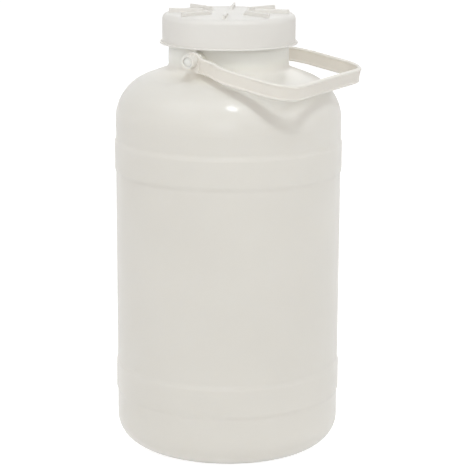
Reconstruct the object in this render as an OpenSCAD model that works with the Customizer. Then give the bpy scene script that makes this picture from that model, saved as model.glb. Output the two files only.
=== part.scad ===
// Wide-mouth plastic drum, about 10 litres, with a strap handle on two neck studs
// and a ribbed screw cap over a sealing disc. Millimetres, +Z up, base centre at the origin.
// The handle lies folded toward +X and turns about the line of the studs, along Y.

/* [Drum] */
// Body diameter
body_d = 200; // [150:1:260]
// Height at which the side wall turns into the shoulder
body_h = 295; // [200:1:400]
// Wall thickness of the blown shell
wall = 2.2; // [1.2:0.1:4]
// Radius of the base corner
base_corner_r = 23.4; // [8:0.2:35]
// Width of the flat ring that the drum stands on
foot_w = 8; // [4:0.5:20]
// Height of the pushed-up middle of the base
base_rise = 4; // [1:0.5:12]
// Distance of the mould's pinch line from the edge of that middle
pinch_edge = 16; // [4:1:30]
// Width of the pinch line
pinch_w = 1.8; // [1:0.1:4]
// Height of the pinch line
pinch_h = 0.7; // [0.3:0.1:2]
// Distance from the neck out to the centre of the round shoulder
shoulder_inset = 6.2; // [1:0.1:20]
// Slope of the shoulder cone against the level
shoulder_slope = 20.5; // [8:0.5:40]
// Height of each raised band around the body
band_h = 27; // [14:0.5:40]
// How far each band stands out of the wall
band_proud = 1; // [0.5:0.1:3]
// Radius of the soft edges of the bands
band_soft_r = 8; // [3:0.5:15]
// Height of the middle of the lower band
low_band_z = 62; // [40:0.5:120]
// Distance of the upper band's middle below the shoulder
high_band_drop = 32; // [18:0.5:80]

/* [Neck] */
// Neck diameter
neck_d = 106; // [70:0.5:140]
// Radius of the hollow corner between shoulder and neck
neck_root_r = 5.3; // [1:0.1:10]

/* [Cap] */
// Gap between the studs and the cap's underside
cap_gap = 2.5; // [1:0.1:15]
// Height of the cap without its ribs
cap_h = 26; // [15:0.2:60]
// Room for the screw thread between neck and cap
thread_room = 3.3; // [1.5:0.1:5]
// Thickness of the cap's side and top
cap_t = 2.2; // [1.2:0.1:4]
// Radius of the cap's upper edge
cap_edge_r = 5; // [3:0.2:12]
// How far the thin ring at the cap's foot stands out
flange_proud = 2.1; // [0.8:0.1:5]
// Thickness of that ring
flange_t = 1.2; // [0.8:0.1:3]
// Number of grip ribs on the cap
rib_count = 8; // [4:1:16]
// Thickness of a rib
rib_t = 2.2; // [1.2:0.1:4]
// Height of a rib
rib_h = 3.6; // [2:0.1:8]
// Distance of a rib's inner end from the axis
rib_inner_r = 20; // [8:0.5:35]
// Distance of a rib's outer end from the cap's side
rib_edge = 5.5; // [2:0.5:20]
// Turn of the ribs against the handle
rib_turn = 23.6; // [0:0.1:45]
// Thickness of the sealing disc
liner_t = 1.6; // [0.8:0.1:3]

/* [Studs] */
// Height of the stud line above the neck's root
stud_rise = 8.8; // [4:0.1:25]
// Stud diameter
stud_d = 7.4; // [4:0.1:12]
// Diameter of the shoulder behind each eye
spacer_d = 12.6; // [8:0.2:20]

/* [Handle] */
// Angle of the folded handle below the level
fold_angle = 10.5; // [0:0.5:25]
// How far the grip reaches out past the body
grip_over = 2.3; // [0:0.1:30]
// How far each arm swings outward from its eye
jog = 13; // [6:0.5:30]
// Length over which each arm swings outward
jog_run = 39; // [25:0.5:45]
// Height of the strap
strap_h = 13.2; // [8:0.2:25]
// How far the strap's upper edge lies above the stud line
strap_lift = 3.9; // [0:0.1:8]
// Thickness of the strap between its rims
web_t = 3; // [1.5:0.1:5]
// Thickness of the rims along both edges
rim_t = 3.9; // [2:0.1:7]
// Height of each rim
rim_h = 2.6; // [1.2:0.1:5]
// Step by which the eye plates and straight arms are fuller than the bends between them
arm_step = 0.1; // [0.05:0.05:0.4]
// Overlap at those steps
weld = 0.5; // [0.2:0.1:1]
// Outside radius of the two grip corners
grip_corner_r = 24; // [8:0.5:40]
// Length of the flat plate at each eye
eye_run = 7; // [6:0.5:20]
// Radius of the rounded end of each eye plate
eye_r = 7.2; // [6:0.1:12]
// Diameter of the collar on each eye
collar_d = 11.6; // [9:0.2:14]
// Length of the collar
collar_l = 8.4; // [2:0.2:15]
// Depth of the stud's end inside the collar
stud_sink = 0.6; // [0.3:0.1:4]

/* [Fits] */
// Running clearance between stud and eye, on the radius
stud_gap = 0.1; // [0.02:0.02:0.4]
// Clearance between eye plate and spacer
side_gap = 0.3; // [0.1:0.05:1]
// Clearance between the swinging eyes and the cap's ring
swing_gap = 0.7; // [0.3:0.1:3]
// Clearance between the disc and the cap's side, on the radius
liner_gap = 1.8; // [0.5:0.1:3]
// Clearance between the disc's edge and the cap's round inside corner
liner_edge_gap = 0.3; // [0.1:0.05:1]
// Clearance between the disc and the neck's rim
seal_gap = 0.2; // [0.05:0.05:0.5]

/* [Quality] */
// Fineness of round faces
$fn = 96; // [24:8:192]

/* [Hidden] */
body_r = body_d / 2;
neck_r = neck_d / 2;
shoulder_cx = neck_r + shoulder_inset;
shoulder_r = body_r - shoulder_cx;
foot_inner_r = body_r - base_corner_r - foot_w;
pinch_l = 2 * (foot_inner_r - base_rise - pinch_edge);
high_band_z = body_h - high_band_drop;
band_turn = acos(1 - band_proud / (2 * band_soft_r));
fillet_cx = neck_r + neck_root_r;
root_z = body_h + shoulder_r * cos(shoulder_slope)
    + (shoulder_cx + shoulder_r * sin(shoulder_slope) - fillet_cx) * tan(shoulder_slope)
    + neck_root_r / cos(shoulder_slope);
stud_z = root_z + stud_rise;
cap_foot_z = stud_z + spacer_d / 2 + cap_gap;
cap_top_z = cap_foot_z + cap_h;
cap_inner_r = neck_r + thread_room;
cap_r = cap_inner_r + cap_t;
cap_round_r = cap_edge_r - cap_t;
cap_round_cx = cap_r - cap_edge_r;
cap_round_cz = cap_top_z - cap_edge_r;
liner_r = cap_inner_r - liner_gap;
liner_corner = max(0, liner_r - cap_round_cx);
seat_z = cap_round_cz + sqrt(pow(cap_round_r, 2) - pow(liner_corner, 2)) - liner_edge_gap;
liner_z = seat_z - liner_t;
neck_top_z = liner_z - seal_gap;
flange_r = cap_r + flange_proud;
rib_outer_r = cap_r - rib_edge;
eye_in = flange_r + swing_gap;
eye_out = eye_in + rim_t;
spacer_reach = eye_in - side_gap;
collar_reach = eye_out + collar_l;
stud_reach = collar_reach - stud_sink;
jog_angle = 2 * atan(jog / jog_run);
jog_r = jog_run / (2 * sin(jog_angle));
grip_reach = body_r + grip_over;
arm_run = grip_reach - grip_corner_r - eye_run - jog_run;
grip_run = 2 * (eye_out + jog - grip_corner_r);
strap_low = strap_lift - strap_h;

// Half section of the drum's outside, drawn in by the given amount
module drum_outline(inset) {
    difference() {
        union() {
            translate([0, inset])
                square([body_r - base_corner_r, body_h - inset]);
            translate([0, base_corner_r])
                square([body_r - inset, body_h - base_corner_r]);
            translate([body_r - base_corner_r, base_corner_r])
                circle(base_corner_r - inset);
            band(low_band_z, inset);
            band(high_band_z, inset);
            intersection() {
                translate([shoulder_cx, body_h])
                    circle(shoulder_r - inset);
                translate([shoulder_cx, body_h - 1])
                    square(shoulder_r + 1);
            }
            shoulder_cone(inset);
            neck_fillet(inset);
            translate([0, body_h])
                square([neck_r - inset, neck_top_z - body_h + inset]);
        }
        base_hollow(inset);
    }
}

module shoulder_cone(inset) {
    low = shoulder_r - inset;
    high = neck_root_r + inset;
    low_z = body_h + low * cos(shoulder_slope);
    high_z = root_z - high * cos(shoulder_slope);
    polygon([
        [0, body_h],
        [shoulder_cx, body_h],
        [shoulder_cx + low * sin(shoulder_slope), low_z],
        [fillet_cx - high * sin(shoulder_slope), high_z],
        [0, high_z]
    ]);
}

module neck_fillet(inset) {
    high = neck_root_r + inset;
    high_z = root_z - high * cos(shoulder_slope);
    difference() {
        polygon([
            [0, high_z - 1],
            [fillet_cx - high * sin(shoulder_slope), high_z],
            [fillet_cx, root_z],
            [0, root_z]
        ]);
        translate([fillet_cx, root_z])
            circle(high);
    }
}

module base_hollow(inset) {
    top = base_rise + inset;
    edge = foot_inner_r + inset * sqrt(2);
    polygon([
        [0, -1],
        [edge + 1, -1],
        [edge - top, top],
        [0, top]
    ]);
}

// Half section of one raised band, flat in the middle and running softly into the wall
module band(z, inset) {
    half = band_h / 2 - band_soft_r * sin(band_turn);
    rise = 2 * band_soft_r * sin(band_turn);
    convex_x = body_r + band_proud - band_soft_r;
    concave_x = body_r + band_soft_r;
    translate([0, z - half])
        square([convex_x + band_soft_r - inset, 2 * half]);
    for (side = [0, 1])
        translate([0, z])
            mirror([0, side]) {
                translate([convex_x, half])
                    circle(band_soft_r - inset);
                difference() {
                    polygon([
                        [0, half],
                        [convex_x, half],
                        [concave_x, half + rise],
                        [0, half + rise]
                    ]);
                    translate([concave_x, half + rise])
                        circle(band_soft_r + inset);
                }
            }
}

module drum_body() {
    color("ivory") {
        rotate_extrude() {
            difference() {
                drum_outline(0);
                drum_outline(wall);
            }
        }
        studs();
        pinch_line();
    }
}

module pinch_line() {
    translate([-pinch_w / 2, -pinch_l / 2, base_rise - pinch_h])
        cube([pinch_w, pinch_l, pinch_h + wall / 2]);
}

module studs() {
    translate([0, 0, stud_z])
        for (side = [-1, 1])
            rotate([-90 * side, 0, 0])
                translate([0, 0, neck_r - wall / 2]) {
                    cylinder(h = spacer_reach - neck_r + wall / 2, d = spacer_d);
                    cylinder(h = stud_reach - neck_r + wall / 2, d = stud_d);
                }
}

// Strap section: first axis outward from the strap's middle line, second axis along its height
module strap_section(grow) {
    translate([-web_t / 2 - grow, strap_low + rim_h / 2])
        square([web_t + 2 * grow, strap_h - rim_h]);
    for (mid = [strap_low + rim_h / 2, strap_lift - rim_h / 2])
        translate([0, mid])
            rim_section(grow);
}

module rim_section(grow) {
    square([rim_t - rim_h, rim_h + 2 * grow], center = true);
    for (side = [-1, 1])
        translate([side * (rim_t - rim_h) / 2, 0])
            circle(rim_h / 2 + grow, $fn = 32);
}

// One straight length of strap along X, then whatever follows at its end
module strap_run(length, lap) {
    translate([-lap, 0, 0])
        rotate([90, 0, 90])
            linear_extrude(length + lap)
                strap_section(arm_step);
    translate([length, 0, 0])
        children();
}

// One bend of strap to the left (positive angle) or to the right, then what follows
module strap_bend(radius, angle, grow) {
    turn = abs(angle);
    side = sign(angle);
    translate([0, side * radius, 0]) {
        rotate([0, 0, side > 0 ? -90 : 90 - turn])
            rotate_extrude(angle = turn)
                translate([radius, 0])
                    strap_section(grow);
        rotate([0, 0, angle])
            translate([0, -side * radius, 0])
                children();
    }
}

module eye_plate() {
    high = [eye_run + weld, strap_lift + arm_step];
    low = [eye_run + weld, strap_low - arm_step];
    high_a = atan2(high[1], high[0]) + acos(eye_r / norm(high));
    low_a = atan2(low[1], low[0]) - acos(eye_r / norm(low));
    difference() {
        union() {
            rotate([90, 0, 0])
                linear_extrude(rim_t + 2 * arm_step, center = true) {
                    circle(eye_r);
                    polygon([
                        [0, 0],
                        eye_r * [cos(low_a), sin(low_a)],
                        low,
                        high,
                        eye_r * [cos(high_a), sin(high_a)]
                    ]);
                }
            rotate([90, 0, 0])
                cylinder(h = rim_t / 2 + collar_l, d = collar_d);
        }
        rotate([90, 0, 0])
            cylinder(h = 2 * collar_reach, r = stud_d / 2 + stud_gap, center = true);
    }
}

module handle_half() {
    eye_plate();
    translate([eye_run, 0, 0])
        strap_bend(jog_r, -jog_angle, 0)
            strap_bend(jog_r, jog_angle, 0)
                strap_run(arm_run, weld)
                    strap_bend(grip_corner_r - rim_t / 2, 90, arm_step)
                        strap_run(grip_run / 2, 0);
}

module carry_handle() {
    color("whitesmoke")
        translate([0, 0, stud_z])
            rotate([0, fold_angle, 0])
                for (side = [0, 1])
                    mirror([0, side, 0])
                        translate([0, -(eye_in + rim_t / 2), 0])
                            handle_half();
}

module cap_section() {
    difference() {
        union() {
            translate([0, cap_foot_z])
                square([flange_r, flange_t]);
            translate([0, cap_foot_z])
                square([cap_r, cap_h - cap_edge_r]);
            translate([0, cap_foot_z])
                square([cap_round_cx, cap_h]);
            translate([cap_round_cx, cap_round_cz])
                circle(cap_edge_r);
        }
        translate([0, cap_foot_z - 1])
            square([cap_inner_r, cap_h - cap_edge_r + 1]);
        translate([0, cap_foot_z - 1])
            square([cap_round_cx, cap_h - cap_t + 1]);
        translate([cap_round_cx, cap_round_cz])
            circle(cap_round_r);
    }
    // Ring under the top that presses the sealing disc on the neck's rim
    translate([neck_r - wall, seat_z])
        square([wall, cap_top_z - cap_t - seat_z]);
}

module cap_rib() {
    slope = rib_h * 0.8;
    low = cap_top_z - cap_t * 0.7;
    high = cap_top_z + rib_h - rib_t / 2;
    rotate([90, 0, 0])
        linear_extrude(rib_t, center = true)
            polygon([
                [rib_inner_r, low],
                [rib_outer_r, low],
                [rib_outer_r, high],
                [rib_inner_r + slope, high],
                [rib_inner_r, cap_top_z]
            ]);
    translate([rib_inner_r + slope, 0, high])
        rotate([0, 90, 0])
            cylinder(h = rib_outer_r - rib_inner_r - slope, d = rib_t, $fn = 32);
}

module screw_cap() {
    color("gainsboro") {
        rotate_extrude()
            cap_section();
        for (i = [0 : rib_count - 1])
            rotate([0, 0, rib_turn + i * 360 / rib_count])
                cap_rib();
    }
}

module sealing_liner() {
    color("white")
        translate([0, 0, liner_z])
            cylinder(h = liner_t, r = liner_r);
}

drum_body();
carry_handle();
screw_cap();
sealing_liner();
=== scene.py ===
"""Looks of the wide-mouth plastic drum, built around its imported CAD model."""

import math

import bpy
from mathutils import Matrix, Vector


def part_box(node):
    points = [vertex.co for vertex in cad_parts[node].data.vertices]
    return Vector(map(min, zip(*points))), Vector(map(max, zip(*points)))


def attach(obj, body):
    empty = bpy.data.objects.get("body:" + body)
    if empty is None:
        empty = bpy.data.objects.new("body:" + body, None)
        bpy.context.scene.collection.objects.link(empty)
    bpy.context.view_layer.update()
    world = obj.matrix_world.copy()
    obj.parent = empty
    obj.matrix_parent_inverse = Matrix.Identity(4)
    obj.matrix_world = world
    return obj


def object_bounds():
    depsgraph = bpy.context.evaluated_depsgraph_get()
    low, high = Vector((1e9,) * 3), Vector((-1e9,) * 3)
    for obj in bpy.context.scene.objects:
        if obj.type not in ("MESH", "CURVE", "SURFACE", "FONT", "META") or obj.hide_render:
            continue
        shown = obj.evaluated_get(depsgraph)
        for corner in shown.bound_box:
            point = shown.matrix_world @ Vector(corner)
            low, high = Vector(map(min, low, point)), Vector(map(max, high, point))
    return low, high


# Camera, as fitted to the photograph (metres, degrees, image pixels)
IMAGE_PX = 470
FOCAL_PX = 1829.1
SENSOR_MM = 36.0
CAMERA_REACH = 1.6035
CAMERA_HEIGHT = 0.5658
CAMERA_PITCH = 13.27
CAMERA_ROLL = 0.25
CAMERA_TURN = 28.63
DRUM_AXIS_PX = 228.0
LOWERED_PX = 0.5

# Screw thread between neck and cap (metres; the sunk part is a share of the depth, and
# the fade a share of the length)
THREAD_LEAD = 0.010
THREAD_DEPTH = 0.0024
THREAD_SUNK = 0.1
THREAD_FOOT = 0.0034
THREAD_CREST = 0.0016
THREAD_FADE = 0.1
THREAD_STEPS = 72
THREAD_START = math.radians(40)
SHARP_ANGLE = math.radians(40)
NECK_R = 0.053
NECK_TOP_GAP = 0.0035
NECK_THREAD_TURNS = 1.4
CAP_INNER_R = 0.0563
CAP_THREAD_TURNS = 1.0
CAP_THREAD_DROP = 0.0048

# Plastics: linear colours, set so that the render matches the photograph, and metres
DRUM_PLASTIC = {
    "colour": (0.765, 0.733, 0.677),
    "rough": 0.48,
    "cloud_size": 0.08,
    "glow": 1.0,
    "glow_depth": 0.004,
    "skin": 0.36,
}
HANDLE_PLASTIC = {
    "colour": (0.75, 0.718, 0.665),
    "rough": 0.46,
    "cloud_size": 0.03,
    "glow": 0.7,
    "glow_depth": 0.004,
    "skin": 0.05,
}
CAP_PLASTIC = {
    "colour": (0.755, 0.732, 0.695),
    "rough": 0.50,
    "cloud_size": 0.03,
    "glow": 0.3,
    "glow_depth": 0.0012,
    "skin": 0.0,
}
PLASTIC_IOR = 1.51
PLASTIC_SPECULAR = 0.30
SKIN_ROUGH = 0.18
EVEN_GLOW = (1.0, 1.0, 1.0)

# Painted light on the neck: a paler colour standing in for light that the cap's shade keeps off;
# how far under the rim the change is centred, and half its height (metres)
NECK_PAINTED_LIGHT = (0.99, 0.94, 0.84)
PAINTED_LIGHT_DROP = 0.0417
PAINTED_LIGHT_RUN = 0.009

# Textures of the plastics (scales per metre, bump distances in metres)
CLOUD_NOISE = {"Detail": 3.0, "Roughness": 0.5}
CLOUD_STOPS = (0.3, 0.7)
CLOUD_SHADES = (0.985, 1.012)
GRAIN_NOISE = {"Scale": 420.0, "Detail": 4.0, "Roughness": 0.6}
GRAIN_BUMP = {"Strength": 0.08, "Distance": 0.0001}
GRAIN_SMOOTHER = 0.05
GRAIN_ROUGHER = 0.07
PEEL_NOISE = {"Scale": 150.0, "Detail": 2.0, "Roughness": 0.5}
PEEL_BUMP = {"Strength": 0.10, "Distance": 0.0004}

# Foam of the sealing disc, in the same units
FOAM_COLOUR = (0.80, 0.80, 0.78)
FOAM_ROUGH = 0.85
FOAM_STOPS = (0.0, 1.0)
FOAM_SHADES = (0.92, 1.04)
FOAM_SCALE = 900.0
FOAM_BUMP = {"Strength": 0.25, "Distance": 0.0002}

# Light: places and sizes in metres, power in watts
SIDE_LEVEL = 1.05
ZENITH_LEVEL = 0.15
WORLD_TINT = (1.0, 0.986, 0.965)
BACKGROUND_COLOUR = (1.0, 1.0, 1.0)
BACKGROUND_LEVEL = 1.0
COOL = (0.90, 0.965, 1.0)
PLAIN = (0.985, 0.99, 1.0)
LAMPS = {
    "key_light": {"place": (0.62, -0.90, 2.00), "size": (0.2, 0.2), "watts": 9.5, "tint": COOL},
    "spark_light": {"place": (0.48, -0.74, 2.13), "size": (0.1, 0.1), "watts": 2.2, "tint": COOL},
    "front_light": {"place": (0.80, -1.71, 0.90), "size": (0.6, 0.8), "watts": 3.8, "tint": PLAIN},
    "left_light": {"place": (-0.85, -1.03, 1.80), "size": (1.0, 1.0), "watts": 6.0, "tint": PLAIN},
    "right_light": {"place": (1.40, 0.05, 1.45), "size": (1.0, 1.0), "watts": 3.8, "tint": PLAIN},
    "back_light": {"place": (-0.55, 1.64, 1.33), "size": (1.4, 1.4), "watts": 5.0, "tint": PLAIN},
}

# Floor: its own glow and colour where it is seen, and its colour where it lights the drum
FLOOR_SIZE = 30.0
FLOOR_GLOW = 0.86
FLOOR_SHADE = (0.42, 0.42, 0.42)
FLOOR_BOUNCE = (0.96, 0.96, 0.96)

# Colour sockets of Blender's Mix node, whose names are not unique
MIX_COLOUR_A = 6
MIX_COLOUR_B = 7
MIX_COLOUR_RESULT = 2


def node_of(tree, kind, **inputs):
    """A new shader node with the given input values, spaces in names as underscores."""
    node = tree.nodes.new(kind)
    for name, value in inputs.items():
        node.inputs[name.replace("_", " ")].default_value = value
    return node


def new_material(name):
    material = bpy.data.materials.new(name)
    material.use_nodes = True
    material.node_tree.nodes.clear()
    return material, material.node_tree


def set_surface(tree, kind, shader):
    """Joins the shader to a new output node of the kind."""
    output = tree.nodes.new(kind)
    tree.links.new(shader.outputs[0], output.inputs["Surface"])


def opaque(colour, factor=1.0):
    """The colour times the factor, with full alpha."""
    return tuple(min(1.0, c * factor) for c in colour) + (1.0,)


def shaded(tree, amount, colour, stops, shades):
    """The colour, from its first shade to its second as the amount goes up."""
    ramp = tree.nodes.new("ShaderNodeValToRGB")
    for element, stop, shade in zip(ramp.color_ramp.elements, stops, shades):
        element.position = stop
        element.color = opaque(colour, shade)
    tree.links.new(amount, ramp.inputs["Fac"])
    return ramp.outputs["Color"]


def painted_neck_light(tree, place, base, height):
    """The base colour, turning into the neck's paler colour, which is painted light, over a short
    stretch at the height.
    """
    parts = tree.nodes.new("ShaderNodeSeparateXYZ")
    tree.links.new(place, parts.inputs["Vector"])
    low, high = height - PAINTED_LIGHT_RUN, height + PAINTED_LIGHT_RUN
    rise = node_of(tree, "ShaderNodeMapRange", From_Min=low, From_Max=high)
    tree.links.new(parts.outputs["Z"], rise.inputs["Value"])
    mix = tree.nodes.new("ShaderNodeMix")
    mix.data_type = "RGBA"
    tree.links.new(rise.outputs["Result"], mix.inputs["Factor"])
    tree.links.new(base, mix.inputs[MIX_COLOUR_A])
    # Painted light: the neck's paler colour stands in for light that the cap's shade keeps off
    mix.inputs[MIX_COLOUR_B].default_value = opaque(NECK_PAINTED_LIGHT)
    return mix.outputs[MIX_COLOUR_RESULT]


def plastic(name, colour, rough, cloud_size, glow, glow_depth, skin, painted_light_above=None):
    """Milky polyethylene: faint clouds, a fine peel and a soft depth.

    The glow is the share of light that goes through the plastic before it comes out
    again. The skin is how much of the surface keeps the mould's gloss. Above the
    height given last, the colour turns into the neck's paler one: painted light
    that stands in for light the cap's shade keeps off.
    """
    material, tree = new_material(name)
    links = tree.links
    place = tree.nodes.new("ShaderNodeTexCoord").outputs["Object"]
    cloud = node_of(tree, "ShaderNodeTexNoise", Scale=1 / cloud_size, **CLOUD_NOISE)
    grain = node_of(tree, "ShaderNodeTexNoise", **GRAIN_NOISE)
    peel = node_of(tree, "ShaderNodeTexNoise", **PEEL_NOISE)
    for texture in (cloud, grain, peel):
        links.new(place, texture.inputs["Vector"])

    base = shaded(tree, cloud.outputs["Fac"], colour, CLOUD_STOPS, CLOUD_SHADES)
    # Painted light: above the height the colour turns paler, in place of light under the cap
    if painted_light_above is not None:
        base = painted_neck_light(tree, place, base, painted_light_above)

    least, most = rough - GRAIN_SMOOTHER, rough + GRAIN_ROUGHER
    gloss = node_of(tree, "ShaderNodeMapRange", To_Min=least, To_Max=most)
    links.new(grain.outputs["Fac"], gloss.inputs["Value"])

    waves = node_of(tree, "ShaderNodeBump", **PEEL_BUMP)
    links.new(peel.outputs["Fac"], waves.inputs["Height"])
    fine = node_of(tree, "ShaderNodeBump", **GRAIN_BUMP)
    links.new(grain.outputs["Fac"], fine.inputs["Height"])
    links.new(waves.outputs["Normal"], fine.inputs["Normal"])

    shader = node_of(
        tree,
        "ShaderNodeBsdfPrincipled",
        IOR=PLASTIC_IOR,
        Specular_IOR_Level=PLASTIC_SPECULAR,
        Subsurface_Weight=glow,
        Subsurface_Radius=EVEN_GLOW,
        Subsurface_Scale=glow_depth,
        Coat_Weight=skin,
        Coat_Roughness=SKIN_ROUGH,
    )
    links.new(base, shader.inputs["Base Color"])
    links.new(gloss.outputs["Result"], shader.inputs["Roughness"])
    links.new(fine.outputs["Normal"], shader.inputs["Normal"])
    set_surface(tree, "ShaderNodeOutputMaterial", shader)
    return material


def foam(name):
    """Expanded sheet of the sealing disc: small closed cells, quite dull."""
    material, tree = new_material(name)
    links = tree.links
    place = tree.nodes.new("ShaderNodeTexCoord")
    cells = node_of(tree, "ShaderNodeTexVoronoi", Scale=FOAM_SCALE)
    links.new(place.outputs["Object"], cells.inputs["Vector"])
    base = shaded(tree, cells.outputs["Distance"], FOAM_COLOUR, FOAM_STOPS, FOAM_SHADES)
    bump = node_of(tree, "ShaderNodeBump", **FOAM_BUMP)
    links.new(cells.outputs["Distance"], bump.inputs["Height"])
    shader = node_of(tree, "ShaderNodeBsdfPrincipled", Roughness=FOAM_ROUGH)
    links.new(base, shader.inputs["Base Color"])
    links.new(bump.outputs["Normal"], shader.inputs["Normal"])
    set_surface(tree, "ShaderNodeOutputMaterial", shader)
    return material


def paint(obj, material):
    obj.data.materials.clear()
    obj.data.materials.append(material)


def thread(name, radius, depth, top_z, turns, start):
    """A right-hand thread that ends top_z high and fades out at both ends.

    Positive depth stands out of the radius, negative depth stands into it.
    """
    count = int(turns * THREAD_STEPS)
    points, faces = [], []
    for i in range(count + 1):
        share = i / count
        fade = min(1.0, share / THREAD_FADE, (1 - share) / THREAD_FADE)
        angle = start + 2 * math.pi * turns * share
        z = top_z - THREAD_LEAD * turns * (1 - share)
        root, crest = radius - THREAD_SUNK * depth, radius + depth * fade
        for r, dz in (
            (root, -THREAD_FOOT / 2),
            (crest, -THREAD_CREST / 2),
            (crest, THREAD_CREST / 2),
            (root, THREAD_FOOT / 2),
        ):
            points.append((r * math.cos(angle), r * math.sin(angle), z + dz))
    corners = len(points) // (count + 1)
    for i in range(count):
        low, high = corners * i, corners * (i + 1)
        for k in range(corners):
            n = (k + 1) % corners
            faces.append((low + k, low + n, high + n, high + k))
    faces.append(tuple(reversed(range(corners))))
    faces.append(tuple(range(corners * count, corners * (count + 1))))
    mesh = bpy.data.meshes.new(name)
    mesh.from_pydata(points, [], faces if depth < 0 else [f[::-1] for f in faces])
    mesh.shade_smooth()
    mesh.set_sharp_from_angle(angle=SHARP_ANGLE)
    obj = bpy.data.objects.new(name, mesh)
    bpy.context.scene.collection.objects.link(obj)
    return obj


def add_threads(neck_top, drum_material, cap_material):
    """The neck's thread and the cap's, both on the same helix."""
    neck_end = neck_top - NECK_TOP_GAP
    neck = thread("neck_thread", NECK_R, THREAD_DEPTH, neck_end, NECK_THREAD_TURNS, THREAD_START)
    paint(neck, drum_material)
    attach(neck, "drum")
    inner = thread(
        "cap_thread",
        CAP_INNER_R,
        -THREAD_DEPTH,
        neck_end - CAP_THREAD_DROP,
        CAP_THREAD_TURNS,
        THREAD_START + 2 * math.pi * (NECK_THREAD_TURNS - CAP_THREAD_TURNS),
    )
    paint(inner, cap_material)
    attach(inner, "cap")


def dress(nodes):
    """Gives the CAD nodes their materials and adds the threads."""
    neck_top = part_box("drum_body")[1].z
    # Painted light: the drum turns paler near the top of the neck, in place of light under the cap
    drum = plastic("drum_plastic", **DRUM_PLASTIC, painted_light_above=neck_top - PAINTED_LIGHT_DROP)
    handle = plastic("handle_plastic", **HANDLE_PLASTIC)
    cap = plastic("cap_plastic", **CAP_PLASTIC)
    paint(nodes["drum_body"], drum)
    paint(nodes["carry_handle"], handle)
    paint(nodes["screw_cap"], cap)
    paint(nodes["sealing_liner"], foam("liner_foam"))
    add_threads(neck_top, drum, cap)


def seen_directly(tree):
    """A factor of 1 for rays from the camera, and for mirrored and transmitted ones."""
    path = tree.nodes.new("ShaderNodeLightPath")
    total = path.outputs["Is Camera Ray"]
    for extra in ("Is Glossy Ray", "Is Transmission Ray"):
        largest = tree.nodes.new("ShaderNodeMath")
        largest.operation = "MAXIMUM"
        tree.links.new(total, largest.inputs[0])
        tree.links.new(path.outputs[extra], largest.inputs[1])
        total = largest.outputs[0]
    return total


def seen_or_lighting(tree, seen, lighting):
    """The first shader where it is seen directly, the second where it lights other things."""
    mix = tree.nodes.new("ShaderNodeMixShader")
    tree.links.new(seen_directly(tree), mix.inputs["Fac"])
    tree.links.new(lighting.outputs[0], mix.inputs[1])
    tree.links.new(seen.outputs[0], mix.inputs[2])
    return mix


def floor_material():
    """Pale floor: a near-white tone to the camera that keeps the drum's soft shadow."""
    material, tree = new_material("floor_paper")
    shade = node_of(tree, "ShaderNodeBsdfDiffuse", Color=opaque(FLOOR_SHADE))
    glow = node_of(tree, "ShaderNodeEmission", Strength=FLOOR_GLOW)
    shown = tree.nodes.new("ShaderNodeAddShader")
    tree.links.new(shade.outputs[0], shown.inputs[0])
    tree.links.new(glow.outputs[0], shown.inputs[1])
    bounce = node_of(tree, "ShaderNodeBsdfDiffuse", Color=opaque(FLOOR_BOUNCE))
    set_surface(tree, "ShaderNodeOutputMaterial", seen_or_lighting(tree, shown, bounce))
    return material


def add_floor():
    half = FLOOR_SIZE / 2
    mesh = bpy.data.meshes.new("floor")
    corners = [(-half, -half, 0), (half, -half, 0), (half, half, 0), (-half, half, 0)]
    mesh.from_pydata(corners, [], [(0, 1, 2, 3)])
    floor = bpy.data.objects.new("floor", mesh)
    bpy.context.scene.collection.objects.link(floor)
    paint(floor, floor_material())


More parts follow.
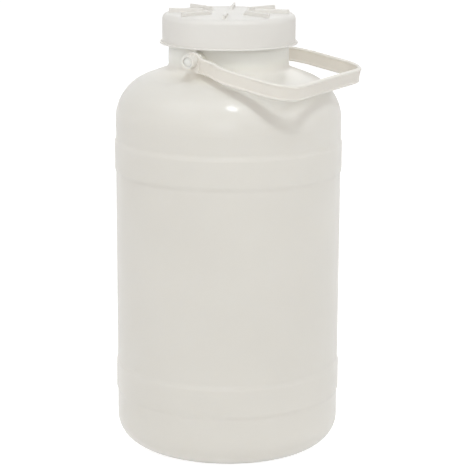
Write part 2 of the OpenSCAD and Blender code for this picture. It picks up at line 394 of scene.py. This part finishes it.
def add_world():
    """Soft light all around, strong from the sides and weak from above."""
    world = bpy.data.worlds.new("studio")
    world.use_nodes = True
    tree = world.node_tree
    links = tree.links
    tree.nodes.clear()
    way = tree.nodes.new("ShaderNodeTexCoord")
    parts = tree.nodes.new("ShaderNodeSeparateXYZ")
    links.new(way.outputs["Generated"], parts.inputs["Vector"])
    level = node_of(tree, "ShaderNodeMapRange", To_Min=SIDE_LEVEL, To_Max=ZENITH_LEVEL)
    links.new(parts.outputs["Z"], level.inputs["Value"])
    light = node_of(tree, "ShaderNodeBackground", Color=opaque(WORLD_TINT))
    links.new(level.outputs["Result"], light.inputs["Strength"])
    white = opaque(BACKGROUND_COLOUR)
    shown = node_of(tree, "ShaderNodeBackground", Color=white, Strength=BACKGROUND_LEVEL)
    set_surface(tree, "ShaderNodeOutputWorld", seen_or_lighting(tree, shown, light))
    bpy.context.scene.world = world


def add_light(name, target, place, size, watts, tint):
    """A rectangular lamp that faces the target."""
    data = bpy.data.lights.new(name, "AREA")
    data.shape = "RECTANGLE"
    data.size, data.size_y = size
    data.energy = watts
    data.color = tint
    lamp = bpy.data.objects.new(name, data)
    lamp.location = place
    lamp.rotation_euler = (Vector(target) - Vector(place)).to_track_quat("-Z", "Y").to_euler()
    bpy.context.scene.collection.objects.link(lamp)


def add_camera():
    """The photograph's camera, with its shift from the drum's axis."""
    data = bpy.data.cameras.new("camera")
    data.sensor_width = SENSOR_MM
    data.lens = SENSOR_MM * FOCAL_PX / IMAGE_PX
    data.shift_x = (IMAGE_PX / 2 - DRUM_AXIS_PX) / IMAGE_PX
    data.shift_y = LOWERED_PX / IMAGE_PX
    camera = bpy.data.objects.new("camera", data)
    turn = math.radians(CAMERA_TURN)
    camera.location = (
        CAMERA_REACH * math.sin(turn),
        -CAMERA_REACH * math.cos(turn),
        CAMERA_HEIGHT,
    )
    aim = Matrix.Rotation(turn, 3, "Z") @ Matrix.Rotation(math.radians(90 - CAMERA_PITCH), 3, "X")
    camera.rotation_euler = (aim @ Matrix.Rotation(math.radians(CAMERA_ROLL), 3, "Z")).to_euler()
    bpy.context.scene.collection.objects.link(camera)
    bpy.context.scene.camera = camera


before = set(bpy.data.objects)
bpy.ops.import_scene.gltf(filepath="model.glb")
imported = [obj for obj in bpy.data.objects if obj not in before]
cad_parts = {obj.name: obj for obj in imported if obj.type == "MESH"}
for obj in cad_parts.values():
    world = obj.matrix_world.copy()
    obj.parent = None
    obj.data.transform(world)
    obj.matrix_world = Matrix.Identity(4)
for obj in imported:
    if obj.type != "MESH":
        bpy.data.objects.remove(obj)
cad_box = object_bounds()
bpy.context.scene.view_settings.view_transform = "Standard"
dress(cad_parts)
add_floor()
add_world()
mouth = (0, 0, cad_box[1][2])
for name, lamp in LAMPS.items():
    add_light(name, mouth, **lamp)
add_camera()
